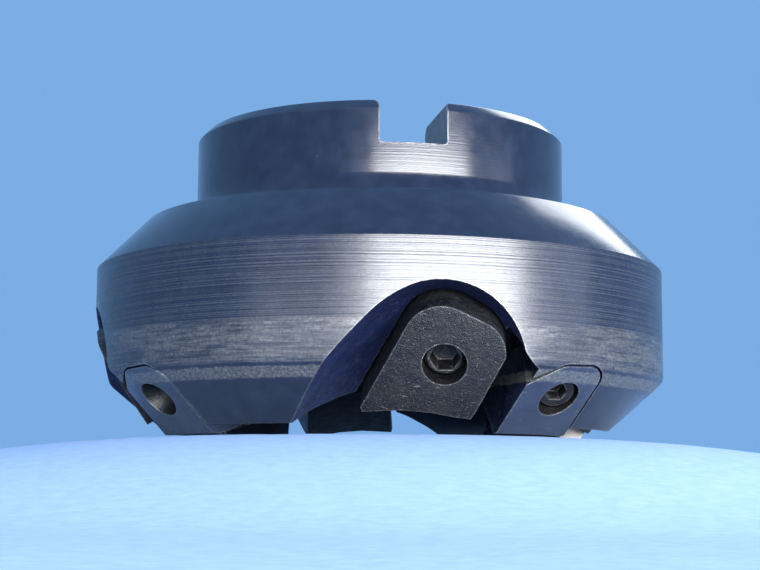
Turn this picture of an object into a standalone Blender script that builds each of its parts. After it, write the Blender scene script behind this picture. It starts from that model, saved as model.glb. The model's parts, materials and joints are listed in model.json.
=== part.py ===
"""Indexable 45 degree face mill: turned body, four pockets with clamp wedges and locators.

The origin is the centre of the plane that the locators' lowest edges touch.
+Z runs up the spindle axis and the drive keyway lies along Y.
Sizes are in millimetres here and become metres as the meshes are made.
"""

import math

import bmesh
import bpy
from mathutils import Matrix, Vector

MM = 0.001

# Turned body
BODY_R = 43.0
BODY_TOP = 46.6
HUB_R = 28.2
HUB_CHAMFER = 1.4
LEDGE_R = 35.6
LEDGE_Z = 32.45
HUB_FILLET = 3.7
BAND_TOP = 25.0
BEVEL_TOP = 8.7
RIM_R = 35.4
RIM_Z = 1.1
RIM_WIDTH = 0.5
DISH_SLOPE = math.tan(math.radians(31.0))
BORE_R = 12.7
BORE_CHAMFER = 1.5
COUNTERBORE_R = 19.5
COUNTERBORE_TOP = 20.0
BODY_STEPS = 72

# Drive keyway
KEY_WIDTH = 9.65
KEY_FLOOR = 40.3
KEY_CORNER = 0.5

# One station, repeated round the body
STATIONS = 4
GAP = 0.3

# Clamp wedge, measured from its screw at the middle of its outer face
WEDGE_AZIMUTH = 3.23
WEDGE_R = 38.53
WEDGE_Z = 8.58
AXIS_AZIMUTH = -12.65
AXIS_TILT = -31.0
WEDGE_HALF = 6.95
WEDGE_LEAN = 62.0
WEDGE_TOP = 7.75
WEDGE_CORNER_R = 5.0
WEDGE_FOOT = (
    (-11.2, -6.3), (-11.0, -7.0), (-5.9, -6.75), (-2.0, -7.1),
    (1.3, -7.8), (3.4, -8.1), (4.74, -5.9),
)
WEDGE_DEPTH = 12.0
WEDGE_TRAVEL_IN = 0.5
WEDGE_ROOM_FOOT = -12.0

# Double-ended clamp screw
SCREW_R = 2.7
SCREW_NECK_R = 2.2
SCREW_NECK_START = 9.0
SCREW_NECK_END = 11.5
SCREW_NECK_SLOPE = 0.5
SCREW_CHAMFER = 0.4
SCREW_RECESS = 2.2
SCREW_END = 18.8
SCREW_BORE_R = 2.97
SCREW_HEX = 3.5
SCREW_HEX_DEPTH = 3.5

# Chip gullet: radius of its outline at each height over the wedge's face
GULLET_CENTRE = (0.0, 1.45)
GULLET_LEAN = 55.7
GULLET_FOOT = -15.5
GULLET_SECTION = (
    (7.9, 14.6), (3.9, 13.1), (0.9, 11.3), (-1.5, 10.1),
    (-4.2, 8.0), (-7.3, 4.5), (-8.9, 1.0),
)

# Insert seat: the plane against which the locator holds the insert
SEAT_AZIMUTH = 17.95
SEAT_EDGE_R = 35.1
SEAT_EDGE_Z = 0.8
SEAT_NORMAL_AZIMUTH = 96.35
SEAT_NORMAL_TILT = -19.3
SEAT_LEAN_AZIMUTH = 26.45
SEAT_LEAN_TILT = 44.4

# Locator, across its thickness and along the seat
LOCATOR_THICK = 11.0
LOCATOR_DEPTH = 11.5
LOCATOR_FRONT_TOP = 7.6
LOCATOR_TOP = 11.3
LOCATOR_CORNER_R = 3.2
LOCATOR_SHOULDER = 4.9
SHOULDER_R = 2.6
LOCATOR_LOW_Z = 0.0
LOCATOR_LOW_R = 34.3
LOCATOR_FLAT = 1.1
RING_INNER_R = 20.0
RING_TOP = 24.0

# Locator screw
PIN_AZIMUTH = 28.85
PIN_R = 38.9
PIN_Z = 4.6
PIN_AXIS_AZIMUTH = 0.5
PIN_TILT = -42.0
PIN_HEAD_R = 2.7
PIN_SHANK_R = 2.0
PIN_RECESS = 1.6
PIN_HEAD_END = 4.2
PIN_END = 17.5
PIN_BORE_R = 2.3
PIN_HEAD_BORE_R = 2.97
PIN_HEX = 2.5
PIN_HEX_DEPTH = 1.8
PIN_CHAMFER = 0.3

# Insert that is left in one pocket
INSERT_STATION = 1
INSERT_SIDE = 12.7
INSERT_THICK = 3.97
INSERT_CLEARANCE = 25.0
INSERT_CORNER = 1.2
INSERT_LOW = -3.2
INSERT_OUT = 0.9
INSERT_GAP = 0.25

# Slot for the insert between its wedge and its locator
SLOT_WIDTH = 5.07
SLOT_FLOOR = -16.0
SLOT_BACK_TOP = 10.5
SLOT_BEND = -3.3
SLOT_BEND_TOP = 12.6
SLOT_FRONT_TOP = 12.9

# How far cutting tools reach past the faces they cut
CLEAR = 9.0
TIP_ROOM = 0.8
TRIM_SPAN = 30.0


def clear_scene():
    for item in list(bpy.data.objects):
        bpy.data.objects.remove(item, do_unlink=True)


def new_collection(name):
    group = bpy.data.collections.new(name)
    bpy.context.scene.collection.children.link(group)
    return group


def material(name, colour, roughness, metallic):
    finish = bpy.data.materials.new(name)
    finish.use_nodes = True
    shader = finish.node_tree.nodes["Principled BSDF"]
    shader.inputs["Base Color"].default_value = (*colour, 1.0)
    shader.inputs["Roughness"].default_value = roughness
    shader.inputs["Metallic"].default_value = metallic
    return finish


def direction(azimuth, tilt):
    """Unit vector: azimuth 0 points to -Y and grows towards +X, tilt is upwards."""
    turn = math.radians(azimuth)
    rise = math.radians(tilt)
    return Vector((math.sin(turn) * math.cos(rise), -math.cos(turn) * math.cos(rise), math.sin(rise)))


def place(radius, azimuth, height):
    return direction(azimuth, 0.0) * radius + Vector((0.0, 0.0, height))


def axes_matrix(origin, right, upward, outward):
    columns = Matrix((right, upward, outward)).transposed().to_4x4()
    return Matrix.Translation(origin) @ columns


def face_matrix(origin, azimuth, tilt):
    """Local Z is the outward direction, local X runs round the body, local Y up the slope."""
    outward = direction(azimuth, tilt)
    right = direction(azimuth + 90.0, 0.0)
    return axes_matrix(origin, right, outward.cross(right), outward)


def seat_matrix():
    """Local X crosses the seat, local Y climbs along it, local Z points out of the body."""
    across = direction(SEAT_NORMAL_AZIMUTH, SEAT_NORMAL_TILT)
    climb = direction(SEAT_LEAN_AZIMUTH, SEAT_LEAN_TILT)
    climb = (climb - across * climb.dot(across)).normalized()
    return axes_matrix(place(SEAT_EDGE_R, SEAT_AZIMUTH, SEAT_EDGE_Z), across, climb, across.cross(climb))


WEDGE_FRAME = face_matrix(place(WEDGE_R, WEDGE_AZIMUTH, WEDGE_Z), AXIS_AZIMUTH, AXIS_TILT)
PIN_FRAME = face_matrix(place(PIN_R, PIN_AZIMUTH, PIN_Z), PIN_AXIS_AZIMUTH, PIN_TILT)
SEAT_FRAME = seat_matrix()


def station_turn(index):
    return Matrix.Rotation(index * math.tau / STATIONS, 4, "Z")


def in_metres(frame):
    scaled = frame.copy()
    scaled.translation = frame.translation * MM
    return scaled


def link(group, name, mesh, frame):
    item = bpy.data.objects.new(name, mesh)
    item.matrix_world = in_metres(frame)
    group.objects.link(item)
    return item


def hide_cutter(item):
    item.hide_render = True
    item.display_type = "WIRE"
    return item


def arc(centre, radius, start, end, count):
    steps = [math.radians(start + (end - start) * i / count) for i in range(count + 1)]
    return [(centre[0] + radius * math.cos(a), centre[1] + radius * math.sin(a)) for a in steps]


def plate_mesh(name, outline, low, high):
    """Flat outline made solid between two heights."""
    shape = bpy.data.curves.new(name, "CURVE")
    shape.dimensions = "2D"
    shape.fill_mode = "BOTH"
    shape.extrude = (high - low) / 2.0 * MM
    spline = shape.splines.new("POLY")
    spline.points.add(len(outline) - 1)
    for point, (x, y) in zip(spline.points, outline):
        point.co = (x * MM, y * MM, 0.0, 1.0)
    spline.use_cyclic_u = True
    holder = bpy.data.objects.new(name, shape)
    bpy.context.scene.collection.objects.link(holder)
    evaluated = holder.evaluated_get(bpy.context.evaluated_depsgraph_get())
    mesh = bpy.data.meshes.new_from_object(evaluated)
    bpy.data.objects.remove(holder, do_unlink=True)
    bpy.data.curves.remove(shape)
    tidy = bmesh.new()
    tidy.from_mesh(mesh)
    bmesh.ops.remove_doubles(tidy, verts=tidy.verts, dist=0.00001)
    bmesh.ops.translate(tidy, verts=tidy.verts, vec=(0.0, 0.0, (high + low) / 2.0 * MM))
    bmesh.ops.recalc_face_normals(tidy, faces=tidy.faces)
    tidy.to_mesh(mesh)
    tidy.free()
    return mesh


def loft_mesh(name, sections):
    """Solid through unlike sections: each is a height and an outline of equal length."""
    mesh = bpy.data.meshes.new(name)
    work = bmesh.new()
    rings = []
    for height, outline in sections:
        rings.append([work.verts.new((x * MM, y * MM, height * MM)) for x, y in outline])
    count = len(rings[0])
    for upper, lower in zip(rings, rings[1:]):
        for i in range(count):
            j = (i + 1) % count
            work.faces.new((upper[i], upper[j], lower[j], lower[i]))
    work.faces.new(rings[0])
    work.faces.new(rings[-1])
    bmesh.ops.recalc_face_normals(work, faces=work.faces)
    work.to_mesh(mesh)
    work.free()
    return mesh


def rod_mesh(name, radius, low, high, sides):
    mesh = bpy.data.meshes.new(name)
    work = bmesh.new()
    bmesh.ops.create_cone(
        work,
        cap_ends=True,
        segments=sides,
        radius1=radius * MM,
        radius2=radius * MM,
        depth=(high - low) * MM,
        matrix=Matrix.Translation((0.0, 0.0, (high + low) / 2.0 * MM)),
    )
    work.to_mesh(mesh)
    work.free()
    return mesh


def turned(group, name, profile, steps, frame, closed):
    """Profile of (radius, height) points turned about local Z; an open one starts and ends on Z."""
    mesh = bpy.data.meshes.new(name)
    work = bmesh.new()
    corners = [work.verts.new((radius * MM, 0.0, height * MM)) for radius, height in profile]
    for start, end in zip(corners, corners[1:]):
        work.edges.new((start, end))
    if closed:
        work.edges.new((corners[-1], corners[0]))
    work.to_mesh(mesh)
    work.free()
    item = link(group, name, mesh, frame)
    spin = item.modifiers.new("turn", "SCREW")
    spin.axis = "Z"
    spin.steps = steps
    spin.render_steps = steps
    spin.use_merge_vertices = True
    spin.merge_threshold = 0.00001
    return item


def cut(item, cutter, operation="DIFFERENCE"):
    boolean = item.modifiers.new(cutter.name, "BOOLEAN")
    boolean.operation = operation
    boolean.solver = "EXACT"
    boolean.object = cutter


def finish_part(item, finish, smooth_angle=30.0):
    item.data.materials.append(finish)
    if item.data.polygons:
        item.data.shade_smooth()
        item.data.set_sharp_from_angle(angle=math.radians(smooth_angle))


def body_profile():
    fillet = arc((HUB_R + HUB_FILLET, LEDGE_Z + HUB_FILLET), HUB_FILLET, 180.0, 270.0, 5)
    rim_inner = RIM_R - RIM_WIDTH
    dish_top = RIM_Z + DISH_SLOPE * (rim_inner - COUNTERBORE_R)
    return [
        (BORE_R + BORE_CHAMFER, BODY_TOP),
        (HUB_R - HUB_CHAMFER, BODY_TOP),
        (HUB_R, BODY_TOP - HUB_CHAMFER),
        *fillet,
        (LEDGE_R, LEDGE_Z),
        (BODY_R, BAND_TOP),
        (BODY_R, BEVEL_TOP),
        (RIM_R, RIM_Z),
        (rim_inner, RIM_Z),
        (COUNTERBORE_R, dish_top),
        (COUNTERBORE_R, COUNTERBORE_TOP),
        (BORE_R, COUNTERBORE_TOP),
        (BORE_R, BODY_TOP - BORE_CHAMFER),
    ]


def leaning_point(side, height):
    """Point at a height on the line that runs up the wedge, a set distance to its side."""
    lean = math.radians(WEDGE_LEAN)
    return ((side + math.cos(lean) * height) / math.sin(lean), height)


def wedge_top(grow):
    """Both rounded upper corners of the leaning block, right one first."""
    lean = math.radians(WEDGE_LEAN)
    radius = WEDGE_CORNER_R + grow
    side = WEDGE_HALF - WEDGE_CORNER_R
    rise = WEDGE_TOP - WEDGE_CORNER_R
    points = []
    for offset, start in ((side, 0.0), (-side, 90.0)):
        centre_x = offset * math.sin(lean) + rise * math.cos(lean)
        centre_y = rise * math.sin(lean) - offset * math.cos(lean)
        first = start + WEDGE_LEAN - 90.0
        points += arc((centre_x, centre_y), radius, first, first + 90.0, 6)
    return points


def wedge_outline():
    return [*wedge_top(0.0), *WEDGE_FOOT]


def wedge_room_outline():
    half = WEDGE_HALF + GAP
    left = leaning_point(-half, WEDGE_ROOM_FOOT)
    right = leaning_point(half, WEDGE_ROOM_FOOT)
    return [*wedge_top(GAP), left, right]


def gullet_outline(radius):
    lean = math.radians(GULLET_LEAN)
    centre_x, centre_y = GULLET_CENTRE
    points = arc(GULLET_CENTRE, radius, 0.0, GULLET_LEAN + 90.0, 14)
    last_x, last_y = points[-1]
    run = (last_y - GULLET_FOOT) / math.tan(lean)
    points.append((last_x - run, GULLET_FOOT))
    points.append((centre_x + radius, GULLET_FOOT))
    return points


def locator_top(grow):
    """Upper edge of the locator, from its shoulder round to its back."""
    back = LOCATOR_THICK + grow
    top = LOCATOR_TOP + grow
    radius = LOCATOR_CORNER_R + grow
    shoulder = arc((LOCATOR_SHOULDER, top - SHOULDER_R), SHOULDER_R, 128.0, 90.0, 3)
    corner = arc((back - radius, top - radius), radius, 90.0, 0.0, 5)
    return [*shoulder, *corner]


def locator_outline():
    foot = -CLEAR
    return [(0.0, foot), (0.0, LOCATOR_FRONT_TOP), *locator_top(0.0), (LOCATOR_THICK, foot)]


def locator_room_outline():
    foot = -CLEAR
    return [(-1.0, foot), (-1.0, LOCATOR_FRONT_TOP + GAP), *locator_top(GAP), (LOCATOR_THICK + GAP, foot)]


def insert_slot_outline():
    left = -SLOT_WIDTH
    foot = -CLEAR
    bend = (SLOT_BEND, SLOT_BEND_TOP)
    return [(left, foot), (GAP, foot), (GAP, SLOT_BACK_TOP), bend, (left, SLOT_FRONT_TOP)]


def insert_section(half):
    """Square with broken corners, centred on the insert's own axis."""
    centre_y = INSERT_LOW + INSERT_SIDE / 2.0
    centre_z = INSERT_OUT - INSERT_SIDE / 2.0
    near = half - INSERT_CORNER
    corners = [
        (near, half), (-near, half), (-half, near), (-half, -near),
        (-near, -half), (near, -half), (half, -near), (half, near),
    ]
    return [(centre_y + y, centre_z + z) for y, z in corners]


def make_body(group, cutters, finish):
    body = turned(group, "cutter_body", body_profile(), BODY_STEPS, Matrix.Identity(4), True)
    key = bpy.data.meshes.new("keyway")
    work = bmesh.new()
    bmesh.ops.create_cube(work, size=1.0)
    high = 2.0 * (BODY_TOP - KEY_FLOOR)
    bmesh.ops.scale(work, verts=work.verts, vec=(KEY_WIDTH * MM, 3.0 * HUB_R * MM, high * MM))
    work.to_mesh(key)
    work.free()
    keyway = link(cutters, "keyway", key, Matrix.Translation((0.0, 0.0, KEY_FLOOR + high / 2.0)))
    rounding = keyway.modifiers.new("corners", "BEVEL")
    rounding.width = KEY_CORNER * MM
    rounding.segments = 2
    cut(body, hide_cutter(keyway))
    for index in range(STATIONS):
        for cutter in station_cutters(cutters, index):
            cut(body, cutter)
    finish_part(body, finish)


def station_cutters(cutters, index):
    turn = station_turn(index)
    number = index + 1
    sections = [(height, gullet_outline(radius)) for height, radius in GULLET_SECTION]
    wedge_floor = -WEDGE_DEPTH - WEDGE_TRAVEL_IN - GAP
    locator_floor = -LOCATOR_DEPTH - GAP
    wedge_room = plate_mesh("wedge_room", wedge_room_outline(), wedge_floor, CLEAR)
    insert_room = plate_mesh("insert_room", insert_slot_outline(), SLOT_FLOOR, CLEAR)
    locator_room = plate_mesh("locator_room", locator_room_outline(), locator_floor, CLEAR)
    screw_hole = rod_mesh("screw_hole", SCREW_BORE_R, -SCREW_END - TIP_ROOM, 0.0, 24)
    pin_hole = rod_mesh("pin_hole", PIN_BORE_R, -PIN_END - TIP_ROOM, 0.0, 20)
    shapes = (
        (loft_mesh("gullet", sections), WEDGE_FRAME),
        (wedge_room, WEDGE_FRAME),
        (insert_room, SEAT_FRAME),
        (locator_room, SEAT_FRAME),
        (screw_hole, WEDGE_FRAME),
        (pin_hole, PIN_FRAME),
    )
    placed = [link(cutters, f"{mesh.name}_{number}", mesh, turn @ frame) for mesh, frame in shapes]
    return [hide_cutter(item) for item in placed]


def make_wedge(group, cutters, index, finish):
    turn = station_turn(index)
    number = index + 1
    mesh = plate_mesh("wedge", wedge_outline(), -WEDGE_DEPTH, 0.0)
    wedge = link(group, f"clamp_wedge_{number}", mesh, turn @ WEDGE_FRAME)
    hole = rod_mesh("wedge_bore", SCREW_BORE_R, -WEDGE_DEPTH - CLEAR, CLEAR, 24)
    cut(wedge, hide_cutter(link(cutters, f"wedge_bore_{number}", hole, turn @ WEDGE_FRAME)))
    near = -INSERT_THICK - 2.0 * INSERT_GAP
    far = near + TRIM_SPAN
    outline = [(near, -TRIM_SPAN), (far, -TRIM_SPAN), (far, TRIM_SPAN), (near, TRIM_SPAN)]
    trim = plate_mesh("wedge_trim", outline, -TRIM_SPAN, TRIM_SPAN)
    cut(wedge, hide_cutter(link(cutters, f"wedge_trim_{number}", trim, turn @ SEAT_FRAME)))
    finish_part(wedge, finish)


def hex_outline(across_flats):
    radius = across_flats / math.sqrt(3.0)
    return arc((0.0, 0.0), radius, 0.0, 300.0, 5)


def make_wedge_screw(group, cutters, index, finish):
    turn = station_turn(index)
    number = index + 1
    top = -SCREW_RECESS
    profile = [
        (0.0, top),
        (SCREW_R - SCREW_CHAMFER, top),
        (SCREW_R, top - SCREW_CHAMFER),
        (SCREW_R, -SCREW_NECK_START),
        (SCREW_NECK_R, -SCREW_NECK_START - SCREW_NECK_SLOPE),
        (SCREW_NECK_R, -SCREW_NECK_END + SCREW_NECK_SLOPE),
        (SCREW_R, -SCREW_NECK_END),
        (SCREW_R, -SCREW_END + SCREW_CHAMFER),
        (SCREW_R - SCREW_CHAMFER, -SCREW_END),
        (0.0, -SCREW_END),
    ]
    screw = turned(group, f"wedge_screw_{number}", profile, 24, turn @ WEDGE_FRAME, False)
    socket = plate_mesh("wedge_socket", hex_outline(SCREW_HEX), top - SCREW_HEX_DEPTH, top + 1.0)
    cut(screw, hide_cutter(link(cutters, f"wedge_socket_{number}", socket, turn @ WEDGE_FRAME)))
    finish_part(screw, finish)


def locator_ring():
    """Section of the ring that a locator's outside is ground to."""
    inner = RING_INNER_R
    flat_inner = LOCATOR_LOW_R - LOCATOR_FLAT
    return [
        (inner, RING_TOP),
        (BODY_R, RING_TOP),
        (BODY_R, BEVEL_TOP),
        (LOCATOR_LOW_R, LOCATOR_LOW_Z),
        (flat_inner, LOCATOR_LOW_Z),
        (inner, LOCATOR_LOW_Z + DISH_SLOPE * (flat_inner - inner)),
    ]


def make_locator(group, cutters, ring, index, finish):
    turn = station_turn(index)
    number = index + 1
    mesh = plate_mesh("locator", locator_outline(), -LOCATOR_DEPTH, CLEAR)
    locator = link(group, f"locator_{number}", mesh, turn @ SEAT_FRAME)
    cut(locator, ring, "INTERSECT")
    head = rod_mesh("head_bore", PIN_HEAD_BORE_R, -PIN_HEAD_END - GAP, CLEAR, 24)
    shank = rod_mesh("shank_bore", PIN_BORE_R, -PIN_END - CLEAR, CLEAR, 20)
    cut(locator, hide_cutter(link(cutters, f"head_bore_{number}", head, turn @ PIN_FRAME)))
    cut(locator, hide_cutter(link(cutters, f"shank_bore_{number}", shank, turn @ PIN_FRAME)))
    finish_part(locator, finish)


def make_locator_screw(group, cutters, index, finish):
    turn = station_turn(index)
    number = index + 1
    profile = [
        (0.0, -PIN_RECESS),
        (PIN_HEAD_R - PIN_CHAMFER, -PIN_RECESS),
        (PIN_HEAD_R, -PIN_RECESS - PIN_CHAMFER),
        (PIN_HEAD_R, -PIN_HEAD_END),
        (PIN_SHANK_R, -PIN_HEAD_END),
        (PIN_SHANK_R, -PIN_END + PIN_CHAMFER),
        (PIN_SHANK_R - PIN_CHAMFER, -PIN_END),
        (0.0, -PIN_END),
    ]
    screw = turned(group, f"locator_screw_{number}", profile, 20, turn @ PIN_FRAME, False)
    floor = -PIN_RECESS - PIN_HEX_DEPTH
    socket = plate_mesh("pin_socket", hex_outline(PIN_HEX), floor, -PIN_RECESS + 1.0)
    cut(screw, hide_cutter(link(cutters, f"pin_socket_{number}", socket, turn @ PIN_FRAME)))
    finish_part(screw, finish)


def make_insert(group, finish):
    """Square insert with cleared sides, its rake face against the wedge."""
    half = INSERT_SIDE / 2.0
    rake = -INSERT_GAP - INSERT_THICK
    back_half = half - INSERT_THICK * math.tan(math.radians(INSERT_CLEARANCE))
    sections = [(rake, insert_section(half)), (-INSERT_GAP, insert_section(back_half))]
    upright = Matrix(((0.0, 0.0, 1.0), (1.0, 0.0, 0.0), (0.0, 1.0, 0.0))).to_4x4()
    frame = station_turn(INSERT_STATION) @ SEAT_FRAME @ upright
    insert = link(group, "carbide_insert", loft_mesh("carbide_insert", sections), frame)
    finish_part(insert, finish)


def main():
    clear_scene()
    group = new_collection("face_mill")
    cutters = new_collection("cutters")
    body_steel = material("blackened_steel", (0.045, 0.05, 0.06), 0.3, 1.0)
    wedge_steel = material("wedge_steel", (0.09, 0.09, 0.10), 0.45, 1.0)
    screw_steel = material("screw_steel", (0.12, 0.12, 0.12), 0.4, 1.0)
    locator_steel = material("locator_steel", (0.07, 0.075, 0.09), 0.35, 1.0)
    pin_steel = material("locator_screw_steel", (0.13, 0.12, 0.11), 0.45, 1.0)
    carbide = material("carbide", (0.48, 0.48, 0.50), 0.35, 0.6)
    make_body(group, cutters, body_steel)
    ring = turned(cutters, "locator_ring", locator_ring(), 2 * BODY_STEPS, Matrix.Identity(4), True)
    hide_cutter(ring)
    for index in range(STATIONS):
        make_wedge(group, cutters, index, wedge_steel)
        make_wedge_screw(group, cutters, index, screw_steel)
        make_locator(group, cutters, ring, index, locator_steel)
        make_locator_screw(group, cutters, index, pin_steel)
    make_insert(group, carbide)


main()
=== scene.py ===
"""Looks of the indexable face mill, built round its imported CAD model.

Every CAD node gets a finer piece of the same size in the same place: rounder turned surfaces,
broken edges, and blackened, worn and ground steel. Sizes are in millimetres until a mesh is made.
"""

import json
import math

import bmesh
import bpy
import numpy as np
from mathutils import Matrix, Vector

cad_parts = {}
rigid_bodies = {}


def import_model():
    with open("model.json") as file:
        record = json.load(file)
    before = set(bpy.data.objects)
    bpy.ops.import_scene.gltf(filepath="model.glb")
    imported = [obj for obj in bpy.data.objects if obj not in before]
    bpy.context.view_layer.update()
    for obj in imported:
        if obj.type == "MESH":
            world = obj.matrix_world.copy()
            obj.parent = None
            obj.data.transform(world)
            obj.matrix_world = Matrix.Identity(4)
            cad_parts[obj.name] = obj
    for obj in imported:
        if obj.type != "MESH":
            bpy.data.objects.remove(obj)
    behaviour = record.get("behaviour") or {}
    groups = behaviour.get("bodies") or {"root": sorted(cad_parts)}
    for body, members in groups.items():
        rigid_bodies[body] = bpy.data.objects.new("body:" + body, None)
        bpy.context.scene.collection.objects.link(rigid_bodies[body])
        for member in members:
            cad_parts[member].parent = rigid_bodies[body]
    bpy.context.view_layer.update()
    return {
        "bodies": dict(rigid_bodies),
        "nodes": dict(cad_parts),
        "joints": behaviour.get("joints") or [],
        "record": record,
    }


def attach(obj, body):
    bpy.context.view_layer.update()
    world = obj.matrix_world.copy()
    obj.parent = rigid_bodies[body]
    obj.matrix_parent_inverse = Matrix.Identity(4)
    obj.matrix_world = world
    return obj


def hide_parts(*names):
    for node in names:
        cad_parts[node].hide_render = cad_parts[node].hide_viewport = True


MM = 0.001

# Turned body
BODY_R = 43.0
BODY_TOP = 46.6
HUB_R = 28.2
HUB_CHAMFER = 1.4
LEDGE_R = 35.6
LEDGE_Z = 32.45
HUB_FILLET = 3.7
BAND_TOP = 25.0
BEVEL_TOP = 8.7
RIM_R = 35.4
RIM_Z = 1.1
RIM_WIDTH = 0.5
DISH_SLOPE = math.tan(math.radians(31.0))
BORE_R = 12.7
BORE_CHAMFER = 1.5
COUNTERBORE_R = 19.5
COUNTERBORE_TOP = 20.0
BODY_STEPS = 300
EDGE_ROUND = 0.25
WORN_ROUND = 1.8

# Drive keyway
KEY_WIDTH = 9.65
KEY_FLOOR = 40.3
KEY_CORNER = 0.5
KEY_LIP = 0.7

# Stations
STATIONS = 4
GAP = 0.3

# Clamp wedge
WEDGE_AZIMUTH = 3.23
WEDGE_R = 38.53
WEDGE_Z = 8.58
AXIS_AZIMUTH = -12.65
AXIS_TILT = -31.0
WEDGE_HALF = 6.95
WEDGE_LEAN = 62.0
WEDGE_TOP = 7.75
WEDGE_CORNER_R = 5.0
WEDGE_FOOT = (
    (-11.2, -6.3), (-11.0, -7.0), (-5.9, -6.75), (-2.0, -7.1),
    (1.3, -7.8), (3.4, -8.1), (4.74, -5.9),
)
WEDGE_DEPTH = 12.0
WEDGE_TRAVEL_IN = 0.5
WEDGE_ROOM_FOOT = -12.0
WEDGE_EDGE = 0.3

# Clamp screw
SCREW_R = 2.7
SCREW_NECK_R = 2.2
SCREW_RECESS = 2.2
SCREW_END = 18.8
SCREW_BORE_R = 2.97
SCREW_HEX = 3.5

# Chip gullet: radius of its outline at each height over the wedge's face
GULLET_CENTRE = (0.0, 1.45)
GULLET_LEAN = 55.7
GULLET_FOOT = -15.5
GULLET_SECTION = (
    (7.9, 14.6), (3.9, 13.1), (0.9, 11.3), (-1.5, 10.1), (-4.2, 8.0), (-7.3, 4.5), (-8.9, 1.0),
)
GULLET_RINGS = 30
GULLET_REACH = 16.0

# Insert seat
SEAT_AZIMUTH = 17.95
SEAT_EDGE_R = 35.1
SEAT_EDGE_Z = 0.8
SEAT_NORMAL_AZIMUTH = 96.35
SEAT_NORMAL_TILT = -19.3
SEAT_LEAN_AZIMUTH = 26.45
SEAT_LEAN_TILT = 44.4

# Locator
LOCATOR_THICK = 11.0
LOCATOR_DEPTH = 11.5
LOCATOR_FRONT_TOP = 7.6
LOCATOR_TOP = 11.3
LOCATOR_CORNER_R = 3.2
LOCATOR_SHOULDER = 4.9
SHOULDER_R = 2.6
LOCATOR_LOW_R = 34.3
LOCATOR_EDGE = 0.14

# Locator screw
PIN_AZIMUTH = 28.85
PIN_R = 38.9
PIN_Z = 4.6
PIN_AXIS_AZIMUTH = 0.5
PIN_TILT = -42.0
PIN_HEAD_R = 2.7
PIN_SHANK_R = 2.0
PIN_RECESS = 1.6
PIN_HEAD_END = 4.2
PIN_END = 17.5
PIN_BORE_R = 2.3
PIN_HEAD_BORE_R = 2.97
PIN_HEX = 2.5

# Insert
INSERT_STATION = 1
INSERT_SIDE = 12.7
INSERT_THICK = 3.97
INSERT_CLEARANCE = 25.0
INSERT_CORNER = 1.2
INSERT_LOW = -3.2
INSERT_OUT = 0.9
INSERT_GAP = 0.25

# Slot for the insert
SLOT_WIDTH = 5.07
SLOT_FLOOR = -16.0
SLOT_BACK_TOP = 10.5
SLOT_BEND = -3.3
SLOT_BEND_TOP = 12.6
SLOT_FRONT_TOP = 12.9

# How far cutting tools reach past the faces they cut
CLEAR = 9.0
TIP_ROOM = 0.8
TRIM_SPAN = 30.0

# Camera, turned round the spindle axis from the front
CAMERA_PLACE = Vector((0.000105, -0.249185, -0.008678))
CAMERA_TURN = -9.65
CAMERA_RISE = 7.456
CAMERA_ROLL = 0.341
CAMERA_LENS = 77.01
CAMERA_SENSOR = 36.0

# Surroundings
FLOOR_TOP = -0.0004
FLOOR_SIZE = 3.0
FLOOR_CELLS = 400
FLOOR_LEVEL_RADIUS = 0.036
FLOOR_SHOULDER = 0.09
FLOOR_DROP = 0.009
FLOOR_SLOPE = 0.025
FLOOR_PALE = (0.34, 0.50, 0.74)
FLOOR_PALER = (0.40, 0.56, 0.80)
FLOOR_WEAVE = 0.6
ROOM_PALE = (0.20, 0.42, 0.78)

# Where the turned body is worn: heights over which each strip fades in, and the outer radius
LIP_TOP = (8.6, 8.3)
LIP_FOOT = (6.9, 7.3)
RUBBED_TOP = (14.8, 13.8)
RUBBED_FOOT = (8.4, 8.8)
OUTER_R = (34.0, 35.0)

# Area lights: name, azimuth from the camera, height angle, distance, width, height, radiance
# and colour
LIGHTS = (
    ("key", 25.0, 9.0, 0.7, 0.76, 0.26, 20.0, (1.0, 1.0, 1.0)),
    ("key_edge", 22.0, 9.0, 0.75, 1.20, 0.26, 4.0, (1.0, 1.0, 1.0)),
    ("left_fill", -34.0, 3.0, 0.7, 0.36, 0.17, 2.4, (0.97, 0.98, 1.0)),
    ("right_fill", 74.0, 8.0, 0.7, 0.30, 0.26, 1.6, (0.85, 0.92, 1.0)),
    ("backlight", 158.0, 38.0, 0.9, 0.40, 0.40, 4.0, (0.95, 0.98, 1.0)),
)


# Geometry helpers


def direction(azimuth, tilt):
    """Unit vector: azimuth 0 points to -Y and grows towards +X, tilt is upwards."""
    turn = math.radians(azimuth)
    rise = math.radians(tilt)
    flat = math.cos(rise)
    return Vector((math.sin(turn) * flat, -math.cos(turn) * flat, math.sin(rise)))


def place(radius, azimuth, height):
    return direction(azimuth, 0.0) * radius + Vector((0.0, 0.0, height))


def axes_matrix(origin, right, upward, outward):
    return Matrix.Translation(origin) @ Matrix((right, upward, outward)).transposed().to_4x4()


def face_matrix(origin, azimuth, tilt):
    outward = direction(azimuth, tilt)
    right = direction(azimuth + 90.0, 0.0)
    return axes_matrix(origin, right, outward.cross(right), outward)


def seat_matrix():
    """Local X crosses the seat, local Y climbs along it, local Z points out of the body."""
    across = direction(SEAT_NORMAL_AZIMUTH, SEAT_NORMAL_TILT)
    climb = direction(SEAT_LEAN_AZIMUTH, SEAT_LEAN_TILT)
    climb = (climb - across * climb.dot(across)).normalized()
    origin = place(SEAT_EDGE_R, SEAT_AZIMUTH, SEAT_EDGE_Z)
    return axes_matrix(origin, across, climb, across.cross(climb))


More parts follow.
